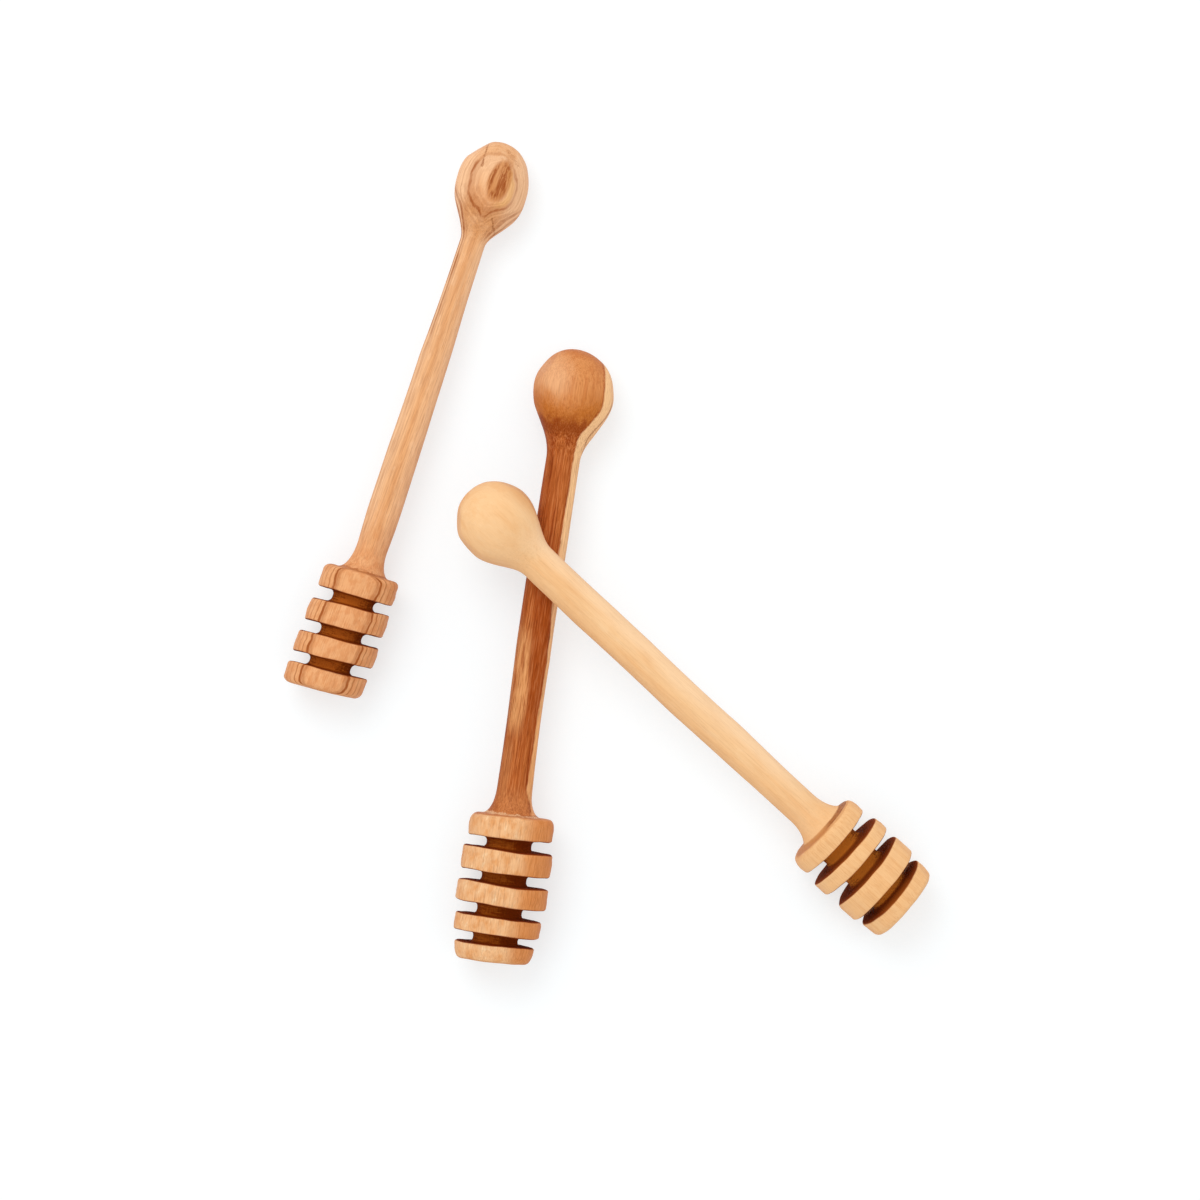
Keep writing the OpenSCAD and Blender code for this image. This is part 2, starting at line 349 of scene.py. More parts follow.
def ringRows(d, i, start):
    # rows of one ring, from the groove before it to the groove after it
    width, thick = d["ringWidths"][i], d["ringThicknesses"][i]
    end, top, core = start + thick, width / 2 - carving["crown"], d["coreWidth"] / 2
    last = len(d["ringWidths"]) - 1
    low = carving["shoulder"] if i == 0 else carving["edge"]
    high = carving["shoulder"] if i == last else carving["edge"]
    taper = d["tipTaper"] if i == 0 else 0
    stretches = []
    if i == 0:
        stretches.append([(start - carving["endDome"], 0)])
    else:
        bottom = carving["grooveRound"] * d["grooveWidths"][i - 1]
        stretches.append(arcPoints(start - bottom, core + bottom, bottom, -90, 0))
    stretches.append(arcPoints(start + low, top - low - taper, low, 180, 90))
    stretches.append(arcPoints(end - high, top - high, high, 90, 0))
    if i == last:
        stretches.append([(end, d["footWidth"] / 2)])
    else:
        bottom = carving["grooveRound"] * d["grooveWidths"][i]
        stretches.append(arcPoints(end + bottom, core + bottom, bottom, 180, 270))
    points = joined(stretches[:2], carving["faceStep"])
    points = joined([points, stretches[2]], carving["rimStep"])
    points = joined([points, stretches[3]], carving["faceStep"])
    rows = []
    for x, r in points:
        along = min(max((x - start) / thick, 0), 1)
        rise = min(max((r - core) / (top - core), 0), 1)
        crown = carving["crown"] * (1 - (2 * along - 1) ** 2) if r > top - high else 0
        onTop = i == last and along >= 1
        footShare = max(1 - (r - d["footWidth"] / 2) / carving["footBlend"], 0) if onTop else 0
        rows.append({
            "x": x, "r": r + crown,
            "skew": math.tan(math.radians(d["ringSkews"][i])),
            "lean": math.tan(math.radians(d["ringLeans"][i])) * rise * along,
            "bend": d["bend"][0] * footShare, "flat": 1,
            "facet": carving["ringFacet"] * rise,
            "wobble": carving["coreWobble"] + (1 - carving["coreWobble"]) * rise,
            "torn": footShare * carving["torn"],
            "seed": 2 * i + along, "wave": rise * (1 - footShare),
        })
    return rows


def profileRows(d):
    rows = []
    start = 0
    for i, thick in enumerate(d["ringThicknesses"]):
        rows += ringRows(d, i, start)
        start += thick + (d["grooveWidths"] + [0])[i]
    head = headLength(d)
    lastSkew, lastSeed = rows[-1]["skew"], rows[-1]["seed"]
    count = int(d["handleLength"] / carving["step"])
    places = [d["handleLength"] * (i / count) ** carving["rowGrowth"] for i in range(1, count + 1)]
    topRows = int(carving["topRows"] * d["knobTop"] / carving["step"])
    angles = [math.pi / 2 * i / topRows for i in range(1, topRows + 1)]
    places += [d["handleLength"] + d["knobTop"] * math.sin(angle) for angle in angles]
    for x in places:
        fade = max(1 - x / carving["foot"], 0)
        rows.append({
            "x": head + x, "r": halfWidth(d, x), "skew": lastSkew * fade, "lean": 0,
            "bend": middle(d, x), "flat": flatness(d, x),
            "facet": 1 - (1 - carving["footFacet"]) * fade, "wobble": carving["handleWobble"],
            "torn": max(1 - x / carving["tornLength"], 0) * carving["torn"], "seed": lastSeed, "wave": 0,
        })
    return rows


def rowsToMesh(name, rows):
    # the profile as a line of points, with what the tree needs to know about each
    mesh = bpy.data.meshes.new(name)
    points = [(row["x"], row["r"], 0) for row in rows]
    mesh.from_pydata(points, [(i, i + 1) for i in range(len(rows) - 1)], [])
    layers = {
        "place": ("skew", "bend", "flat"),
        "carve": ("facet", "wobble", "torn"),
        "ring": ("seed", "wave", "lean"),
    }
    for label, keys in layers.items():
        layer = mesh.attributes.new(label, "FLOAT_VECTOR", "POINT")
        for i, row in enumerate(rows):
            layer.data[i].vector = [row[key] for key in keys]
    return mesh


treeInputs = [
    ("Sides", "NodeSocketInt", carving["sides"]),
    ("Seed", "NodeSocketFloat", 0.0),
    ("Facet Depth", "NodeSocketFloat", 0.5),
    ("Facet Length", "NodeSocketFloat", 26.0),
    ("Facet Width", "NodeSocketFloat", 4.5),
    ("Wobble", "NodeSocketFloat", 0.3),
    ("Face Wave", "NodeSocketFloat", 0.9),
    ("Torn Depth", "NodeSocketFloat", 0.25),
    ("Knob Centre", "NodeSocketVector", (0, 0, 0)),
    ("Wood", "NodeSocketMaterial", None),
] + [("Cut %d" % (i + 1), "NodeSocketVector", (0, 0, 99)) for i in range(carving["cuts"])]


def carvedLatheTree():
    # turns the profile round its axis and gives it the marks of the knife
    tree = bpy.data.node_groups.new("carvedLathe", "GeometryNodeTree")
    tree.interface.new_socket("Profile", in_out="INPUT", socket_type="NodeSocketGeometry")
    for name, kind, value in treeInputs:
        socket = tree.interface.new_socket(name, in_out="INPUT", socket_type=kind)
        if value is not None:
            socket.default_value = value
    tree.interface.new_socket("Dipper", in_out="OUTPUT", socket_type="NodeSocketGeometry")
    bench = Bench(tree)
    given = tree.nodes.new("NodeGroupInput")
    profile = Wire(bench, given.outputs["Profile"])
    sides, seed, facetDepth, facetLength, facetWidth, wobble, faceWave, tornDepth, knobCentre, wood, *cuts = [
        Wire(bench, given.outputs[name]) for name, _, _ in treeInputs
    ]
    rows = bench.node("GeometryNodeAttributeDomainSize", {"component": "MESH"}, (profile,))
    columns = sides + 1
    grid = bench.node("GeometryNodeMeshGrid", None, {"Vertices X": rows, "Vertices Y": columns})
    index = bench.node("GeometryNodeInputIndex")
    row = (index / columns + 0.0001).maths("FLOOR")
    angle = (index - row * columns) * turn / sides

    def sampled(field):
        settings = {"data_type": "FLOAT_VECTOR", "domain": "POINT"}
        sockets = {"Geometry": profile, "Value": field, "Index": row}
        return bench.node("GeometryNodeSampleIndex", settings, sockets)

    def named(label):
        return bench.node("GeometryNodeInputNamedAttribute", {"data_type": "FLOAT_VECTOR"}, {"Name": label})

    x, r = bench.split(sampled(bench.node("GeometryNodeInputPosition")))[:2]
    skew, bend, flat = bench.split(sampled(named("place")))
    facet, wobbleShare, torn = bench.split(sampled(named("carve")))
    ringSeed, wave, lean = bench.split(sampled(named("ring")))
    across, up = angle.maths("COSINE"), angle.maths("SINE")

    # a flat left by the knife lies deepest at its middle, so the radius grows with the distance from it
    onSkin = bench.vector(x / facetLength + seed, across * r / facetWidth, up * r / facetWidth)
    settings = {"voronoi_dimensions": "3D", "feature": "SMOOTH_F1"}
    sockets = {"Vector": onSkin, "Scale": 1, "Smoothness": marks["flatSoft"]}
    fromFlat = bench.node("ShaderNodeTexVoronoi", settings, sockets, 0)
    flats = (fromFlat * fromFlat - marks["flatLevel"]) * facetDepth * facet
    slowAcross, slowUp = across * marks["slowAround"], up * marks["slowAround"]
    slow = bench.noise(bench.vector(x / marks["slowLength"] + seed, slowAcross, slowUp))
    slow = (slow - 0.5) * wobble * wobbleShare
    around = bench.vector(
        across * marks["ringAround"], up * marks["ringAround"], ringSeed * marks["ringApart"] + seed
    )
    ringOut = (bench.noise(around) - 0.5) * wobble * marks["ringOut"] * wave
    faceShift = (bench.noise(around, 1) - 0.5) * faceWave * wave
    tearAlong, tearAround = marks["tear"]
    tears = bench.noise(bench.vector(x * tearAlong, across * tearAround, up * tearAround), 3, 0.7)
    tears = (tears - 0.5) * tornDepth * 2 * torn
    depth = (flats + slow + ringOut + tears) * bench.smooth(r, 0, marks["centre"])
    radius = (r + depth).maths("MAXIMUM", 0)
    side = radius * across + bend
    height = radius * up * flat
    place = bench.vector(x - skew * side - lean * height + faceShift, side, height)
    for cut in cuts:  # each cut is a plane, given by its nearest point to the knob's centre
        normal = bench.vectorMaths("NORMALIZE", cut)
        fromCentre = bench.vectorMaths("SUBTRACT", place, knobCentre)
        past = bench.vectorMaths("DOT_PRODUCT", fromCentre, normal, out="Value")
        past = past - bench.vectorMaths("LENGTH", cut, out="Value")
        past = (past + (past * past + carving["cutSoft"] ** 2) ** 0.5) / 2
        shaving = bench.vectorMaths("MULTIPLY", normal, bench.vector(past, past, past))
        place = bench.vectorMaths("SUBTRACT", place, shaving)
    placed = bench.node("GeometryNodeSetPosition", None, {"Geometry": grid, "Position": place})
    closed = bench.node("GeometryNodeMergeByDistance", None, {"Geometry": placed, "Distance": marks["weld"]})
    shaded = bench.node("GeometryNodeSetShadeSmooth", None, {"Geometry": closed})
    real = bench.node("GeometryNodeRealizeInstances", None, {"Geometry": shaded})
    finished = bench.node("GeometryNodeSetMaterial", None, {"Geometry": real, "Material": wood})
    result = tree.nodes.new("NodeGroupOutput")
    tree.links.new(finished.socket, result.inputs["Dipper"])
    return tree


latheTree = carvedLatheTree()
print("carving tree built")


def lyingPose(d):
    # where a dipper lies, worked out from its tip face in the frame
    mount = next(m for m in frame["record"]["mounts"] if m["name"] == d["tipFace"])
    normal = Vector(mount["axis"]).normalized()
    skew = math.radians(d["ringSkews"][0])
    rise = math.asin(-normal.z / math.cos(skew))
    heading = math.atan2(-normal.y, -normal.x) - math.atan2(math.sin(skew), math.cos(skew) * math.cos(rise))
    turned = Matrix.Rotation(heading, 4, "Z") @ Matrix.Rotation(-rise, 4, "Y")
    half = d["ringThicknesses"][0] / 2 * millimetre
    face = Vector((half * (1 - math.cos(skew)), -half * math.sin(skew), 0))
    return Matrix.Translation(Vector(mount["pos_m"]) - turned @ face) @ turned


def knobCuts(d):
    # planes that take a thin slice off the knob, from where they look and how deep they go
    half = (d["knobTop"], d["knobWidth"] / 2, d["knobWidth"] / 2 * carving["knobFlat"])
    cuts = {"Knob Centre": (knobPlace(d), d["bend"][3], 0)}
    for i, (around, forward, depth) in enumerate(d["knobCuts"]):
        a, f = math.radians(around), math.radians(forward)
        normal = Vector((math.sin(f), math.cos(f) * math.cos(a), math.cos(f) * math.sin(a)))
        reach = math.sqrt(sum((n * h) ** 2 for n, h in zip(normal, half)))
        cuts["Cut %d" % (i + 1)] = normal * (reach - depth)
    return cuts


def carve(d, wood):
    rows = profileRows(d)
    profile = bpy.data.objects.new(d["piece"] + "Profile", rowsToMesh(d["piece"] + "Profile", rows))
    bpy.context.collection.objects.link(profile)
    modifier = profile.modifiers.new("carving", "NODES")
    modifier.node_group = latheTree
    values = dict(d["knife"], Wood=wood, **knobCuts(d))
    for item in latheTree.interface.items_tree:
        if item.in_out == "INPUT" and item.name in values:
            modifier[item.identifier] = values[item.name]
    evaluated = profile.evaluated_get(bpy.context.evaluated_depsgraph_get())
    mesh = bpy.data.meshes.new_from_object(evaluated)
    bpy.data.objects.remove(profile)
    mesh.transform(lyingPose(d) @ Matrix.Scale(millimetre, 4))
    form = bmesh.new()
    form.from_mesh(mesh)
    bmesh.ops.recalc_face_normals(form, faces=form.faces)
    form.to_mesh(mesh)
    form.free()
    mesh.name = d["piece"]
    for vertex in mesh.vertices:  # nothing goes through the table
        vertex.co.z = max(vertex.co.z, 0)
    dipper = bpy.data.objects.new(d["piece"], mesh)
    bpy.context.collection.objects.link(dipper)
    print(d["piece"], "carved:", len(mesh.polygons), "faces")
    return dipper


# The wood: olive, its figure laid out along each dipper's own axis, in millimetres
grain = {
    "fibre": (6.5, 0.4),  # length and width
    "fine": (8.0, 0.27),
    "streak": (34.0, 1.5),
    "pore": (1.8, 0.15),
    "blotch": (3.4, 2.2),
    "warp": (45.0, 13.0),
    "turned": (0.5, 3.5),  # marks of the knife round the core
    "roughness": 0.5,
    "stainRoughness": 0.4,
    "specular": 0.07,
    "specularTone": (1, 0.86, 0.7, 1),
    "bump": 0.12,
    "bumpHeight": 0.0002,
    "shade": tone(120, 60, 20),
    "shine": tone(255, 206, 150),
    # painted shade on surfaces that face sideways or down: its tone and its share
    "sideShadeTone": tone(205, 130, 72),
    "sideShadeShare": 0.3,
    "headCalm": 0.4,  # how much fainter the grain is on the head, by the foot and on the knob
    "footCalm": 0.3,
    "knobCalm": 0.45,
    "coreCurve": 0.02,  # how fast the core darkens away from the light
    # painted shade: how much less of the painted highlight the ring faces in the grooves get
    "faceShade": 0.85,
    "ringPitch": 1.7,  # distance of the growth rings on the sawn end
    "ringShare": 0.35,
    "tipShare": 0.6,
    "driftLength": 12,  # the last stretch of the handle, along which the wood turns with the knob
}


class WoodPlace:
    # the fields of a dipper's wood: the place along and across its axis, and its noises
    def __init__(self, bench, d):
        pose = lyingPose(d)
        coordinates = bench.node("ShaderNodeTexCoord", None, (), "Object")
        sockets = {
            "Vector": coordinates,
            "Location": pose.to_translation(),
            "Rotation": pose.to_euler(),
            "Scale": (millimetre,) * 3,
        }
        local = bench.node("ShaderNodeMapping", {"vector_type": "TEXTURE"}, sockets)
        self.x, self.y, self.z = bench.split(local)
        self.seed = d["woodSeed"]
        self.bench = bench
        self.fromFoot = self.x - headLength(d)
        self.fromKnob = self.x - knobPlace(d)
        self.onHead = bench.smooth(self.fromFoot, 0.6, -0.2)
        self.side = self.y - self.run(d)
        self.radial = (self.side * self.side + self.z * self.z) ** 0.5
        red, green, blue = bench.split(self.spread("warp", detail=2, out=1))
        self.across = self.y + (red - 0.5) * d["warp"]
        self.up = self.z + (green - 0.5) * d["warp"]
        self.streak = self.spread("streak", detail=3, roughness=0.6)
        self.fibre = self.spread("fibre", detail=3, roughness=0.65)
        self.fine = self.spread("fine", detail=2, roughness=0.7)
        self.pore = self.spread("pore", detail=1)
        self.blotch = self.spread("blotch", detail=3, roughness=0.6)

    def run(self, d):  # the sideways run of the dipper's middle, as a row of straight ramps
        stops = [(-1, 0, 0)] + handleStations(d)
        total = self.fromKnob * self.bench.ramp(self.fromKnob, -grain["driftLength"], 0) * d["knobDrift"]
        for (start, _, low), (end, _, high) in zip(stops, stops[1:]):
            total = total + self.bench.ramp(self.fromFoot, start, end) * (high - low)
        return total

    def spread(self, name, detail, roughness=0.5, out=0):
        length, width = grain[name]
        at = self.bench.vector(self.x / length + self.seed, self.y / width, self.z / width)
        return self.bench.noise(at, detail, roughness, out)

    def uneven(self, **shares):  # a sum of the named noises, each about 0 and with its own share
        parts = [(getattr(self, name) - 0.5) * share for name, share in shares.items()]
        return sum(parts[1:], parts[0])

    def scratch(self, start, end, width):  # a dark crack on the upper side, from one place to another
        (ax, ay), (bx, by) = start, end
        dx, dy = bx - ax, by - ay
        px, py = self.x - ax, self.y - ay
        t = ((px * dx + py * dy) / (dx * dx + dy * dy)).maths("MAXIMUM", 0).maths("MINIMUM", 1)
        qx, qy = px - t * dx, py - t * dy
        distance = (qx * qx + qy * qy) ** 0.5 + self.uneven(blotch=1.3, fibre=0.7)
        return self.bench.smooth(distance, width, width * 0.3) * self.bench.smooth(self.z, 1, 3)


def endRings(d, place):  # the place along the first and the last ring, square to their faces
    angles = (d["ringSkews"][0], d["ringLeans"][0], d["ringSkews"][-1])
    skew, lean, lastSkew = [math.tan(math.radians(angle)) for angle in angles]
    return place.x + place.side * skew + place.z * lean, place.x + place.side * lastSkew


def shadeAndStainGrooves(bench, place, d, colour, face):
    # the stain and painted shade in the grooves, with a golden painted highlight where the light falls on the
    # core
    inFirst, inLast = endRings(d, place)
    first, last = d["ringThicknesses"][0], headLength(d) - d["ringThicknesses"][-1]
    rim = min(d["ringWidths"]) / 2
    shadeAndStained = bench.smooth(inFirst, first - 0.4, first - 0.1) * bench.smooth(inLast, last + 0.4, last + 0.1)
    shadeAndStained = shadeAndStained * bench.smooth(place.radial, rim - 0.9, rim - 2.6).maths("MAXIMUM", face)
    length, width = grain["turned"]
    turned = bench.noise(bench.vector(place.x / length, place.side / width, place.z / width), 2, 0.6)
    # painted highlight: the core is painted golden where the light falls on it and fades away from the light,
    # broken up by grain and knife marks; painted shade keeps the ring faces darker
    fromLight = place.side - d["coreLight"]
    golden = d["coreGold"] - fromLight * fromLight * grain["coreCurve"] + place.uneven(blotch=0.3, fibre=1.1)
    golden = bench.smooth(golden + (turned - 0.5) * 1.3, 0.2, 0.75) * (1 - face * grain["faceShade"])
    shadeAndStain = bench.mixColour(golden, d["groove"], d["grooveLight"])
    return shadeAndStained, bench.mixColour(shadeAndStained * d["stainShare"], colour, shadeAndStain)


def endGrain(bench, place, d, colour, face):
    # the sawn end with its growth rings, and the last ring's face round the foot of the handle
    inFirst, inLast = endRings(d, place)
    inLast = inLast - headLength(d)
    square = bench.smooth(face, 0.55, 0.95)
    growth = ((place.radial + place.uneven(blotch=1.5)) / grain["ringPitch"]).maths("FRACT")
    growth = bench.mixColour(bench.band(growth, 0.5, 0.4) * grain["ringShare"], d["tipGrain"], d["endGrain"])
    onTip = square * bench.smooth(inFirst, 1.2, 0.4)
    colour = bench.mixColour(onTip * grain["tipShare"], colour, growth)
    edge, foot = d["ringWidths"][-1] / 2, d["footWidth"] / 2
    onFoot = square * bench.smooth(inLast, -1.2, -0.4) * bench.smooth(inLast, 1.2, 0.6)
    onFoot = onFoot * bench.smooth(place.radial, edge - 0.3, edge - 1.3)
    # painted shade with a stain: the last ring's face is darkened next to the foot, on the dipper's right
    # side
    onRight = bench.smooth(place.side, 1, -2.5)
    colour = bench.mixColour(onFoot * (0.85 - onRight * 0.35), colour, d["endGrain"])
    byFoot = bench.smooth(place.radial + place.uneven(blotch=0.6), foot + 0.8, foot + 0.4)
    return bench.mixColour(onFoot * byFoot * onRight * d["endDarkShare"], colour, d["endDark"])


def fibres(bench, place, d, colour, shadeAndStained):
    # fibres and pores darken the wood, and the wood between them shines a little
    calm = 1 - place.onHead * grain["headCalm"] - bench.smooth(place.fromKnob, -14, -5) * grain["knobCalm"]
    calm = calm - bench.smooth(abs(place.fromFoot - 2.2), 4.5, 1.5) * grain["footCalm"]
    shade = bench.smooth(place.fibre, 0.42, 0.7) * d["fibreDark"]
    shade = shade + bench.smooth(place.pore, 0.62, 0.72) * d["poreDark"]
    shade = shade + bench.smooth(place.fine, 0.46, 0.66) * d["fineDark"]
    colour = bench.mixColour(shade * calm, colour, grain["shade"], "MULTIPLY")
    shine = bench.smooth(place.fine, 0.52, 0.38) * bench.smooth(place.fibre, 0.62, 0.46)
    return bench.mixColour(shine * (1 - shadeAndStained) * calm * d["fineLight"], colour, grain["shine"])


def oliveWood(d, figure):
    material = bpy.data.materials.new(d["wood"])
    material.use_nodes = True
    bench = Bench(material.node_tree)
    shader = material.node_tree.nodes["Principled BSDF"]
    place = WoodPlace(bench, d)
    axis = lyingPose(d).to_3x3() @ Vector((1, 0, 0))
    normal = bench.node("ShaderNodeNewGeometry", None, (), "Normal")
    face = bench.smooth(abs(bench.vectorMaths("DOT_PRODUCT", normal, axis, out="Value")), 0.5, 0.9)
    shadeAndStained, colour = shadeAndStainGrooves(bench, place, d, figure(bench, place, d), face)
    colour = endGrain(bench, place, d, colour, face)
    colour = fibres(bench, place, d, colour, shadeAndStained)
    # painted shade: surfaces that face sideways or down are darkened and warmed, so the outlines read darker
    low = bench.smooth(bench.split(normal)[2], 0.56, -0.1)
    colour = bench.mixColour(low * grain["sideShadeShare"], colour, grain["sideShadeTone"], "MULTIPLY")
    foot = d["footWidth"] / 2
    ragged = place.fromFoot - 0.2 - place.uneven(blotch=2.4, fine=1.2)
    atFoot = bench.band(ragged, 0, d["tornWidth"]) * bench.smooth(place.radial, foot + 0.9, foot + 0.1)
    colour = bench.mixColour(atFoot * d["tornShare"], colour, d["torn"])
    bench.tree.links.new(colour.socket, shader.inputs["Base Color"])
    roughness = grain["roughness"] + place.uneven(streak=0.2) + shadeAndStained * grain["stainRoughness"]
    bench.tree.links.new(roughness.socket, shader.inputs["Roughness"])
    shader.inputs["Specular IOR Level"].default_value = grain["specular"]
    shader.inputs["Specular Tint"].default_value = grain["specularTone"]
    sockets = {
        "Strength": grain["bump"],
        "Distance": grain["bumpHeight"],
        "Height": place.fibre * 0.6 + place.pore * 0.4,
    }
    bump = bench.node("ShaderNodeBump", None, sockets)
    bench.tree.links.new(bump.socket, shader.inputs["Normal"])
    return material


# The dark dipper: five rings, red-brown heartwood and a strip of pale sapwood on its right
darkDipper = {
    "piece": "darkDipper", "node": "dark_five_ring_dipper", "body": "dark_dipper", "slot": "dark_olive_wood",
    "tipFace": "dark_tip_face", "wood": "darkOliveWood",
    "ringWidths": [20.8, 22.5, 23.6, 23.4, 21.9], "ringThicknesses": [4.5, 4.5, 5.5, 6.0, 6.0],
    "grooveWidths": [2.6, 3.0, 2.9, 2.9], "ringSkews": [1.8, 0.5, 0, 0.7, 1.9], "ringLeans": [0, 0, 0, 0, 0],
    "coreWidth": 11.6, "footWidth": 15.7, "tipTaper": 0.5,
    "handleWidths": (8.5, 9.2, 8.7), "gripAt": 44, "handleLength": 110.4, "bend": (0.5, 0.9, 0.4, 0.1),
    "knobWidth": 21, "knobTop": 11.0, "knobBody": 17.8, "knobFull": 1.05, "knobDrift": 0.055,
    "knobCuts": [(18, 30, 0.5), (172, 12, 0.4), (75, 42, 0.35), (-60, 20, 0.5), (-140, 15, 0.5)],
    "knife": {"Seed": 3.1},
    "woodSeed": 1.7, "warp": 1.6, "fibreDark": 0.24, "fineDark": 0.3, "fineLight": 0.11, "poreDark": 0.2,
    "heart": tone(196, 108, 50), "heartDark": tone(160, 70, 20),
    "heartDeep": tone(164, 72, 16), "heartGold": tone(224, 156, 98),
    "goldFrom": (17, 27), "goldTo": (54, 43),  # the golden patch, from the foot
    "deepFrom": (10, 30), "deepTo": (72, 62),
    "knobTone": tone(220, 144, 84), "knobLight": tone(244, 188, 140), "knobGold": tone(200, 116, 46),
    "knobBand": tone(146, 58, 8), "knobEdge": tone(204, 120, 64),
    # where the painted highlight on the knob lies
    "lightAt": (3, 5.9),  # the middle of the knob's light spot
    "bandFrom": (-13, -10), "bandTo": (-8.2, -0.6),  # the dark band round the knob's lower end
    "sapwood": tone(255, 205, 150), "sapWarm": tone(234, 154, 84), "sapLine": tone(160, 92, 50),
    "sapEdge": 2.75, "sapShift": (4.8, 2.2),  # where the strip starts, and what the knob and the foot add
    "rim": tone(242, 188, 136), "rimWarm": tone(232, 164, 104),
    "rimPale": tone(250, 208, 160), "rimRight": tone(218, 137, 74),
    "groove": tone(142, 56, 3), "grooveLight": tone(196, 104, 30), "stainShare": 1,
    "coreLight": 2.5, "coreGold": 0.6, "tipGrain": tone(222, 158, 104),
    "endGrain": tone(200, 122, 70), "endDark": tone(170, 84, 40), "endDarkShare": 0.5,
    "torn": tone(246, 206, 160), "tornShare": 0.65, "tornWidth": 0.3,
}


def darkHeart(bench, place, d):
    # red-brown streaks, a golden patch on the left and darker wood on the right
    fromFoot, side = place.fromFoot, place.side
    streaks = bench.smooth(place.streak * 0.6 + place.fine * 0.25 + place.fibre * 0.15, 0.4, 0.66)
    heart = bench.mixColour(streaks * 0.9, d["heart"], d["heartDark"])
    cloud = bench.noise(bench.vector(fromFoot / 16, place.y / 2.4, place.z / 3), 2, 0.5)
    golden = bench.smooth(side + (cloud - 0.5) * 3, -1.3, 1.3) * bench.smooth(fromFoot, *d["goldFrom"])
    golden = golden * bench.smooth(fromFoot + place.uneven(blotch=10), *d["goldTo"])
    patchy = 0.3 + bench.smooth(cloud * 0.5 + place.fibre * 0.3 + place.fine * 0.2, 0.56, 0.42) * 0.7
    leftByHead = bench.smooth(fromFoot, 26, 14) * bench.smooth(side, 1, 2.6)
    byHead = bench.smooth(fromFoot, 9, 3).maths("MAXIMUM", leftByHead) * 0.35
    heart = bench.mixColour((golden * patchy).maths("MAXIMUM", byHead), heart, d["heartGold"])
    deep = bench.smooth(side - (fromFoot - 40) * 0.12 + (cloud - 0.5) * 2, 1.4, -0.6)
    deep = deep * bench.smooth(fromFoot, *d["deepFrom"]) * bench.smooth(fromFoot, *d["deepTo"])
    heart = bench.mixColour(deep * 0.75, heart, d["heartDeep"])
    return bench.mixColour(bench.smooth(side, 3, 4) * 0.35, heart, d["heartDark"])


def darkKnob(bench, place, d, heart):
    # a light face, with a painted highlight near its upper side and painted shade along its top edge, over a
    # ragged dark band that closes round the knob's lower end
    fromKnob, side = place.fromKnob, place.side
    edged = bench.smooth(place.streak + place.uneven(fibre=0.3), 0.42, 0.66)
    knobFace = bench.mixColour(edged * 0.55, d["knobTone"], d["knobEdge"])
    # painted highlight: a soft lighter spot on the knob's face
    highlightX, highlightY = (fromKnob - d["lightAt"][0]) * 0.8, side - d["lightAt"][1]
    lightness = (highlightX * highlightX + highlightY * highlightY) ** 0.5 + place.uneven(streak=4)
    knobFace = bench.mixColour(bench.smooth(lightness, 8, 1.5) * 0.65, knobFace, d["knobLight"])
    # painted shade: the knob's outline is darkened towards its top and right
    shadedTopEdge = bench.smooth((fromKnob * fromKnob + side * side) ** 0.5, 8.2, 9.8)
    shadedTopEdge = shadedTopEdge * bench.smooth(fromKnob - side, 4, 9)
    knobFace = bench.mixColour(shadedTopEdge * 0.6, knobFace, d["knobEdge"])
    deep = fromKnob * 0.09 + 1.12 + place.uneven(blotch=0.7, fibre=0.3)
    band = bench.mixColour(bench.smooth(deep, 0.62, 0.28) * 0.82, d["knobGold"], d["knobBand"])
    colour = bench.mixColour(bench.smooth(fromKnob + place.uneven(fibre=4), *d["bandFrom"]), heart, band)
    lobes = bench.smooth(abs(side - 1.5), 1.5, 5.5) * 2.6
    ragged = fromKnob + place.uneven(blotch=6, fibre=4)
    return bench.mixColour(bench.smooth(ragged - lobes, *d["bandTo"]), colour, knobFace)


def darkFigure(bench, place, d):
    fromFoot, fromKnob = place.fromFoot, place.fromKnob
    heart = darkKnob(bench, place, d, darkHeart(bench, place, d))

    # the pale sapwood down the right side, wider on the knob and narrower along the handle
    onKnob = bench.smooth(fromKnob, -13, -2)
    narrow = bench.band(fromFoot, 30, 36) * 0.9 + bench.band(fromFoot, 41, 16) * 0.45
    knobShift, footShift = d["sapShift"]
    edge = place.side + (place.z - 4) * 0.2 + d["sapEdge"] + narrow
    edge = edge + onKnob * knobShift + bench.smooth(fromFoot, 8, 2) * footShift
    edge = edge + place.uneven(pore=0.6, blotch=0.7)
    nearEdge = bench.band(edge, 0.3, 0.6) * (0.2 + bench.smooth(place.fine, 0.45, 0.6) * 0.5)
    colour = bench.mixColour(nearEdge, heart, d["heartDark"])
    warmth = bench.smooth(fromFoot + place.uneven(blotch=30), 52, 16) * 0.6
    sapwood = bench.mixColour(warmth, d["sapwood"], d["sapWarm"])
    colour = bench.mixColour(bench.smooth(edge, 0.3, -0.3), colour, sapwood)
    sapLine = bench.smooth(fromKnob, -18, -12) * bench.smooth(fromKnob, 1, -3)
    sapLine = sapLine * bench.band(edge + onKnob * 0.2, -2.7, 0.36)
    colour = bench.mixColour(sapLine * 0.65, colour, d["sapLine"])

    clouds = bench.mixColour(bench.smooth(place.blotch, 0.42, 0.7), d["rim"], d["rimWarm"])
    clouds = bench.mixColour(bench.smooth(place.blotch, 0.42, 0.28), clouds, d["rimPale"])
    right = bench.smooth(place.across + place.uneven(blotch=3), -2.5, -7)
    rim = bench.mixColour(right * (0.6 + place.fibre * 0.6), clouds, d["rimRight"])
    return bench.mixColour(place.onHead, colour, rim)


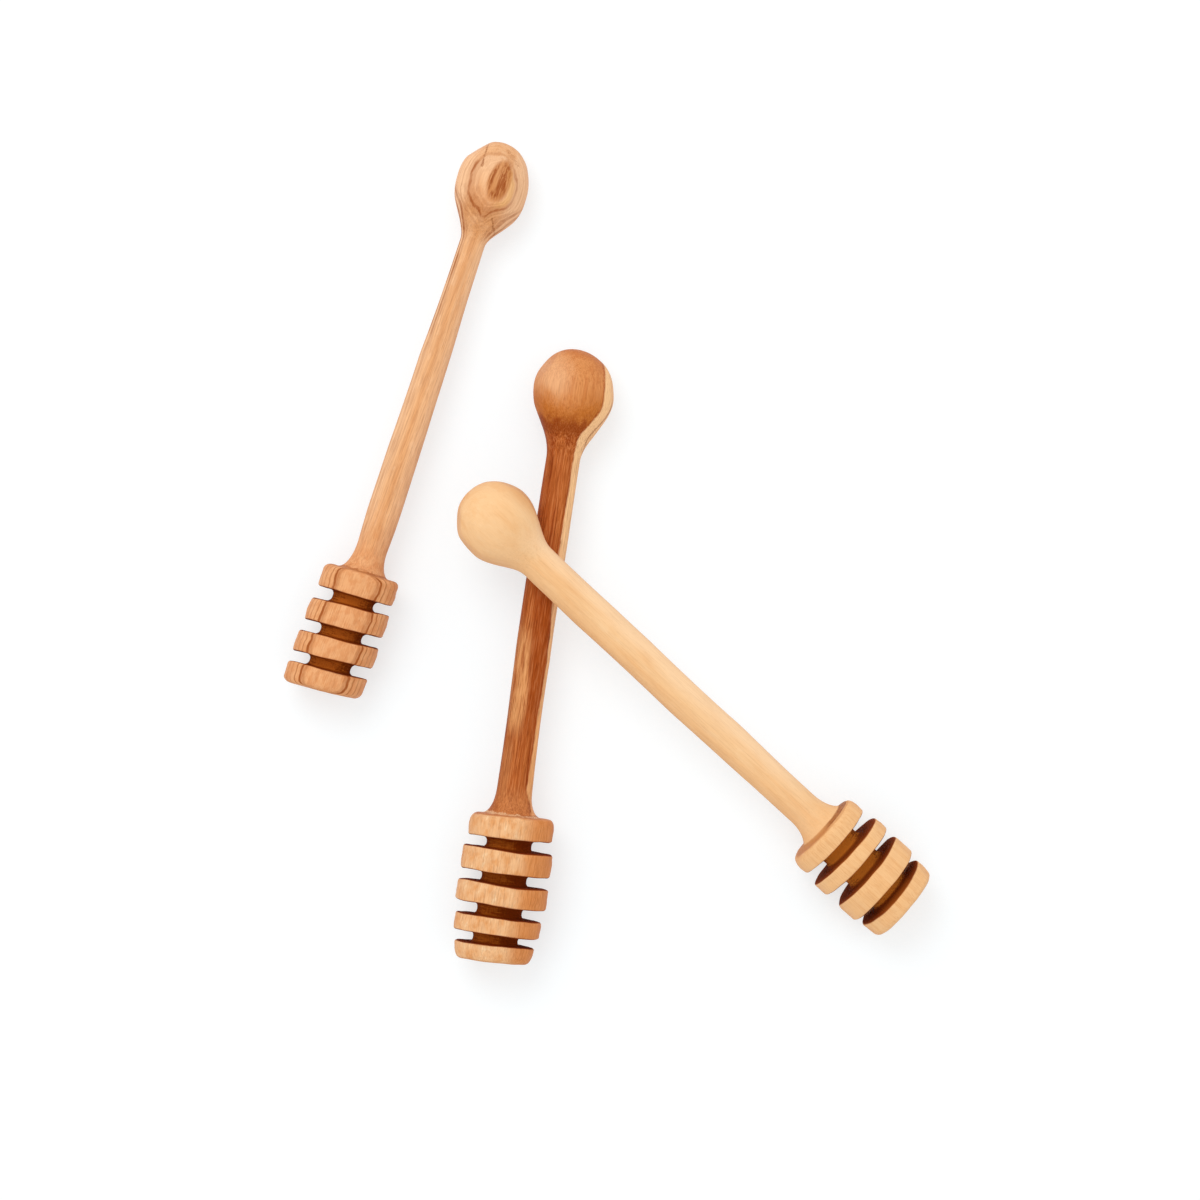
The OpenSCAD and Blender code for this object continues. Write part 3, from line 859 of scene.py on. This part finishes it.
# The pale dipper: four rings, sapwood nearly without figure
paleDipper = {
    "piece": "paleDipper", "node": "pale_four_ring_dipper", "body": "pale_dipper", "slot": "pale_olive_wood",
    "tipFace": "pale_tip_face", "wood": "paleOliveWood",
    "ringWidths": [21.8, 23.1, 23.4, 21.9], "ringThicknesses": [5.4, 6.1, 4.2, 5.0],
    "grooveWidths": [2.1, 3.4, 3.4], "ringSkews": [2.1, 2.4, 0, 0], "ringLeans": [6, 1, 0, 0],
    "coreWidth": 11.2, "footWidth": 16.5, "tipTaper": 0.2,
    "handleWidths": (8.9, 9.6, 9.6), "gripAt": 49, "handleLength": 115.3, "bend": (-0.8, -1, -1.8, -2.4),
    "knobWidth": 20.8, "knobTop": 10.4, "knobBody": 15, "knobFull": 1.15, "knobDrift": 0,
    "knobCuts": [(8, 8, 0.4), (10, 48, 0.6), (172, 20, 0.3), (-70, 15, 0.5), (-130, 25, 0.5)],
    "knife": {"Seed": 7.9},
    "woodSeed": 5.2, "warp": 2.4, "fibreDark": 0.07, "fineDark": 0.06, "fineLight": 0.05, "poreDark": 0.08,
    "plain": tone(246, 200, 148), "warm": tone(240, 184, 126), "light": tone(249, 209, 162),
    "bright": tone(255, 217, 174), "line": tone(222, 158, 98), "headTone": tone(244, 188, 128),
    "groove": tone(136, 54, 2), "grooveLight": tone(224, 132, 40), "stainShare": 0.98,
    "coreLight": 0, "coreGold": 1.0, "tipGrain": tone(236, 182, 124),
    "endGrain": tone(200, 132, 74), "endDark": tone(140, 66, 10), "endDarkShare": 0.8,
    "torn": tone(206, 140, 82), "tornShare": 0.35, "tornWidth": 0.3,
}


def paleFigure(bench, place, d):
    fromFoot, fromKnob = place.fromFoot, place.fromKnob
    cloud = bench.noise(bench.vector(place.x / 16, place.y / 3.2, place.z / 3.2 + d["woodSeed"]), 3, 0.5)
    warmth = bench.smooth(cloud * 0.75 + place.streak * 0.25, 0.42, 0.68)
    colour = bench.mixColour(warmth * 0.6, d["plain"], d["warm"])
    lightness = bench.smooth(place.blotch * 0.6 + cloud * 0.4, 0.48, 0.3)
    colour = bench.mixColour(lightness * 0.45, colour, d["light"])
    level = place.up - place.across * place.across / 50
    layers = bench.noise(bench.vector(level / 0.8, place.x / 200, 0), 1)
    onKnob = bench.smooth(fromKnob, -14, -4)
    colour = bench.mixColour(bench.smooth(layers, 0.6, 0.75) * (0.16 - onKnob * 0.04), colour, d["line"])
    # painted shade: the knob's right outline is darkened
    shadedRightEdge = bench.smooth(place.side + (cloud - 0.5) * 3, -6.6, -9.2) * bench.smooth(fromKnob, 7, 0)
    colour = bench.mixColour(shadedRightEdge * onKnob * 0.55, colour, d["line"])

    # painted light and shade: the handle is painted warmer on one side and lighter on the other, as the light
    # falls across its width
    onHandle = bench.smooth(fromFoot, 1, 8) * (1 - onKnob)
    acrossIt = place.side + (cloud - 0.5) * 3
    colour = bench.mixColour(bench.smooth(acrossIt, 0.2, 2.6) * onHandle * 0.35, colour, d["warm"])
    bright = bench.smooth(acrossIt, 0.4, -3.6) * onHandle * bench.smooth(fromFoot, 4, 22)
    colour = bench.mixColour(bright * 0.7, colour, d["bright"])
    colour = bench.mixColour(bench.smooth(fromFoot, 6, -2) * 0.5, colour, d["headTone"])
    flecks = bench.smooth(place.fine * 0.5 + place.streak * 0.5, 0.45, 0.6) * place.onHead
    return bench.mixColour(flecks * 0.35, colour, d["line"])


# The swirled dipper: four rings, dark growth lines, and the heart showing on its knob
swirlDipper = {
    "piece": "swirlDipper", "node": "swirl_four_ring_dipper", "body": "swirl_dipper",
    "slot": "striped_olive_wood", "tipFace": "swirl_tip_face", "wood": "stripedOliveWood",
    "ringWidths": [20.9, 21.2, 20.8, 20.1], "ringThicknesses": [5.6, 5.5, 6.1, 6.3],
    "grooveWidths": [2.9, 2.9, 2.9], "ringSkews": [5.5, 6, 5.5, 3.5], "ringLeans": [0, 0, 0, 0],
    "coreWidth": 10.8, "footWidth": 13.7, "tipTaper": 0.2,
    "handleWidths": (7.7, 8.5, 6.7), "gripAt": 21, "handleLength": 105.7, "bend": (-0.1, 0.3, 2.1, 2.4),
    "knobWidth": 18.9, "knobTop": 11.1, "knobBody": 16, "knobFull": 1.4, "knobDrift": 0.04,
    "knobCuts": [(12, 40, 0.5), (170, 25, 0.3), (-80, 10, 0.5), (-30, 20, 0.4), (-150, 20, 0.4)],
    "knife": {"Seed": 12.3},
    "woodSeed": 9.4, "warp": 1.3, "fibreDark": 0.15, "fineDark": 0.17, "fineLight": 0.16, "poreDark": 0.14,
    "plain": tone(240, 184, 134), "pale": tone(250, 202, 158), "soft": tone(224, 156, 100),
    "middle": tone(222, 152, 94), "line": tone(164, 84, 32), "crack": tone(156, 86, 40),
    "headTone": tone(236, 170, 116), "headWarm": tone(224, 148, 92),
    "inner": tone(226, 154, 104), "glow": tone(248, 192, 122), "lowTone": tone(212, 138, 74),
    "heart": tone(150, 64, 4), "heartLight": tone(206, 130, 64),
    "heartAt": (1.1, 0.6), "heartSize": (5.6, 3),
    "lineAt": (8.4, 7.0),  # how high the strongest growth line lies, at the tip and at the knob
    "headLines": [  # height from that line, width and share
        (0, 0.34, 0.95), (0.5, 0.34, 0.4), (-1.15, 0.26, 0.6), (-2.6, 0.26, 0.4), (-4.2, 0.34, 0.35),
    ],
    "knobLines": [
        (0, 0.36, 0.8), (0.15, 1.1, 0.45), (-0.9, 0.3, 0.35),
        (-1.8, 0.3, 0.3), (0.9, 0.24, 0.3), (1.35, 0.24, 0.3),
    ],
    "edgeLines": [(0, 0.12, 0.9), (-0.34, 0.13, 0.85), (0.17, 0.08, 0.4)],
    "edgeStrip": (-0.16, 0.12, 0.6),  # the pale strip between the first two
    "cracks": [((9.3, 6.75), (3.0, 6.3), 0.42), ((-8.8, -0.7), (-12.2, -2.6), 0.26)],  # from, to, width
    "dots": ((8.9, 1.2), (6.4, -2.6), 0.75),
    "groove": tone(142, 60, 4), "grooveLight": tone(206, 110, 34), "stainShare": 1,
    "coreLight": 0.5, "coreGold": 0.78, "tipGrain": tone(224, 158, 104),
    "endGrain": tone(206, 138, 84), "endDark": tone(160, 84, 40), "endDarkShare": 0.3,
    "torn": tone(176, 104, 58), "tornShare": 0.7, "tornWidth": 0.4,
}


def swirlGround(bench, place, d, onKnob):
    # the wood under the lines: pale at the sides, warmer down the middle and towards the head
    fromFoot, fromKnob, side = place.fromFoot, place.fromKnob, place.side
    colour = bench.mixColour(bench.smooth(place.streak, 0.4, 0.7) * 0.5, d["plain"], d["soft"])
    colour = bench.mixColour(bench.smooth(place.blotch, 0.5, 0.72) * 0.5, colour, d["pale"])
    colour = bench.mixColour(bench.smooth(abs(side - 0.5), 3, 6.5) * onKnob * 0.8, colour, d["pale"])
    midway = bench.smooth(fromFoot, 1, 10) * bench.smooth(fromKnob, -8, -16)
    acrossIt = abs(side + place.uneven(streak=1.2))
    colour = bench.mixColour(bench.smooth(acrossIt, 1.3, 0.2) * midway * 0.55, colour, d["middle"])
    colour = bench.mixColour(bench.smooth(acrossIt, 1.2, 3) * midway * 0.6, colour, d["pale"])
    mottle = bench.noise(bench.vector(place.x / 2.6, place.y / 2, place.z / 2), 3, 0.6)
    mottle = bench.smooth(mottle + place.uneven(fine=0.25), 0.4, 0.62)
    headTone = bench.mixColour(mottle, d["headTone"], d["headWarm"])
    return bench.mixColour(bench.smooth(fromFoot, 24, -2) * 0.8, colour, headTone)


def swirlLines(bench, place, d, colour, onKnob, sway, thin):
    # growth lines: flat layers, which run straight along the head and close into loops on the knob
    fromKnob, side = place.fromKnob, place.side
    atTip, atKnob = d["lineAt"]
    inHead = bench.smooth(place.fromFoot, 2, 0)
    level = place.z - atTip - place.x * ((atKnob - atTip) / knobPlace(d)) + place.uneven(streak=0.5)
    layers = bench.noise(bench.vector((level + sway * 0.8) / 0.5, place.x / 120, 0), 2, 0.6)
    layered = bench.smooth(layers, 0.47, 0.68) * (inHead * 0.45).maths("MAXIMUM", onKnob * 0.5)
    colour = bench.mixColour(layered, colour, d["soft"])
    for height, width, share in d["headLines"]:
        colour = bench.mixColour(bench.band(level, height, width) * inHead * share, colour, d["line"])
    jagged = bench.noise(bench.vector(place.x / 2.6, place.y / 1.8, place.z / 1.8), 2, 0.6) - 0.5
    knobLevel = level + sway * 1.8 + jagged * 0.5 - (side + 0.35) * 0.05
    knobLevel = knobLevel - bench.smooth(side, 0.5, -5) * bench.smooth(fromKnob, -3, -9) * 1.2
    cusp = bench.band(side, -0.6, 1.6) * bench.smooth(fromKnob, -6.5, -8.5) * 0.7
    inside = bench.smooth(knobLevel + cusp, 0, 0.5) * onKnob
    towardsTop = bench.smooth(fromKnob, -5, 5)
    colour = bench.mixColour(inside * (1 - towardsTop) * 0.3, colour, d["inner"])
    colour = bench.mixColour(inside * towardsTop * 0.75, colour, d["pale"])
    lowEnd = bench.band(fromKnob + place.uneven(streak=3), -10, 7) * bench.smooth(abs(side), 7, 4)
    colour = bench.mixColour(lowEnd * 0.4, colour, d["lowTone"])
    rightBand = bench.band(knobLevel, 1.1, 0.9) * bench.smooth(side, -1, -4.5) * onKnob
    colour = bench.mixColour(rightBand * 0.6, colour, d["glow"])
    strength = 0.65 + bench.smooth(side * 0.6 - fromKnob * 0.5, -1, 4) * 0.35
    strength = (strength - bench.smooth(fromKnob, 2.5, 6) * 0.35) * thin * onKnob
    for height, width, share in d["knobLines"]:
        loop = bench.band(knobLevel + cusp, height, width) * strength
        colour = bench.mixColour(loop * share, colour, d["line"])
    return colour


def swirlEdge(bench, place, d, colour, thin):
    # the lines that run along the left edge of the handle and up round the knob's lower end
    fromFoot, fromKnob, side = place.fromFoot, place.fromKnob, place.side
    aslant = place.z / place.radial.maths("MAXIMUM", 1) + place.uneven(streak=0.12)
    rise = aslant - 0.62 * bench.smooth(fromKnob, -1, -9)
    onHandle = bench.smooth(fromFoot, 4, 14) * bench.smooth(fromKnob, -2, -6)
    leftOnly = bench.smooth(side, -0.5, 0.5).maths("MAXIMUM", bench.smooth(fromKnob, -16, -12) * 0.8)
    fade = onHandle * leftOnly * (0.3 + bench.smooth(fromKnob, -62, -24) * 0.7)
    height, width, share = d["edgeStrip"]
    colour = bench.mixColour(bench.band(rise, height, width) * fade * share, colour, d["pale"])
    for height, width, share in d["edgeLines"]:
        colour = bench.mixColour(bench.band(rise, height, width) * thin * fade * share, colour, d["line"])
    return colour


def swirlHeart(bench, place, d, colour, sway):
    # the heart: a dark patch with two strands and lighter wood between them
    strands = bench.noise(bench.vector(place.x / 5, place.y / 0.6, place.z / 0.8), 3, 0.7)
    (centreX, centreY), (length, width) = d["heartAt"], d["heartSize"]
    heartX, heartY = (place.fromKnob - centreX) / length, (place.y - centreY) / width + sway * 0.5
    patch = (heartX * heartX + heartY * heartY) ** 0.5 + (strands - 0.5) * 0.6
    patch = bench.smooth(patch, 1.15, 0.75) * bench.smooth(place.z, 1, 4)
    strand = bench.band(heartY, 0.68, 0.36).maths("MAXIMUM", bench.band(heartY, -0.35, 0.7))
    strand = strand.maths("MAXIMUM", bench.smooth(heartX, -0.45, -0.75))
    strand = strand * (0.25 + bench.smooth(strands, 0.42, 0.56) * 0.75)
    colour = bench.mixColour(patch * 0.7, colour, d["heartLight"])
    return bench.mixColour(patch * strand * 0.84, colour, d["heart"])


def swirlFigure(bench, place, d):
    onKnob = bench.smooth(place.fromKnob, -20, -11)
    sway = bench.noise(bench.vector(place.x / 9, place.y / 5.5, place.z / 5.5 + d["woodSeed"]), 3, 0.55) - 0.5
    thin = bench.noise(bench.vector(place.x / 5, place.y / 3, place.z / 3), 2)
    thin = 0.55 + bench.smooth(thin, 0.35, 0.6) * 0.45  # the lines are stronger here and weaker there
    colour = swirlGround(bench, place, d, onKnob)
    colour = swirlLines(bench, place, d, colour, onKnob, sway, thin)
    colour = swirlEdge(bench, place, d, colour, thin)
    colour = swirlHeart(bench, place, d, colour, sway)

    def cracked(start, end, width):
        ends = [(knobPlace(d) + x, y) for x, y in (start, end)]
        return place.scratch(*ends, width)

    dotted = cracked(*d["dots"]) * bench.smooth(place.pore, 0.48, 0.6)
    colour = bench.mixColour(dotted * 0.6, colour, d["crack"])
    long, short = [cracked(*crack) for crack in d["cracks"]]
    crack = long.maths("MAXIMUM", short) * (0.3 + bench.smooth(place.fine, 0.35, 0.6) * 0.45)
    return bench.mixColour(crack, colour, d["crack"])


for d, figure in ((darkDipper, darkFigure), (paleDipper, paleFigure), (swirlDipper, swirlFigure)):
    dipper = carve(d, oliveWood(d, figure))
    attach(dipper, d["body"])
    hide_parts(d["node"])
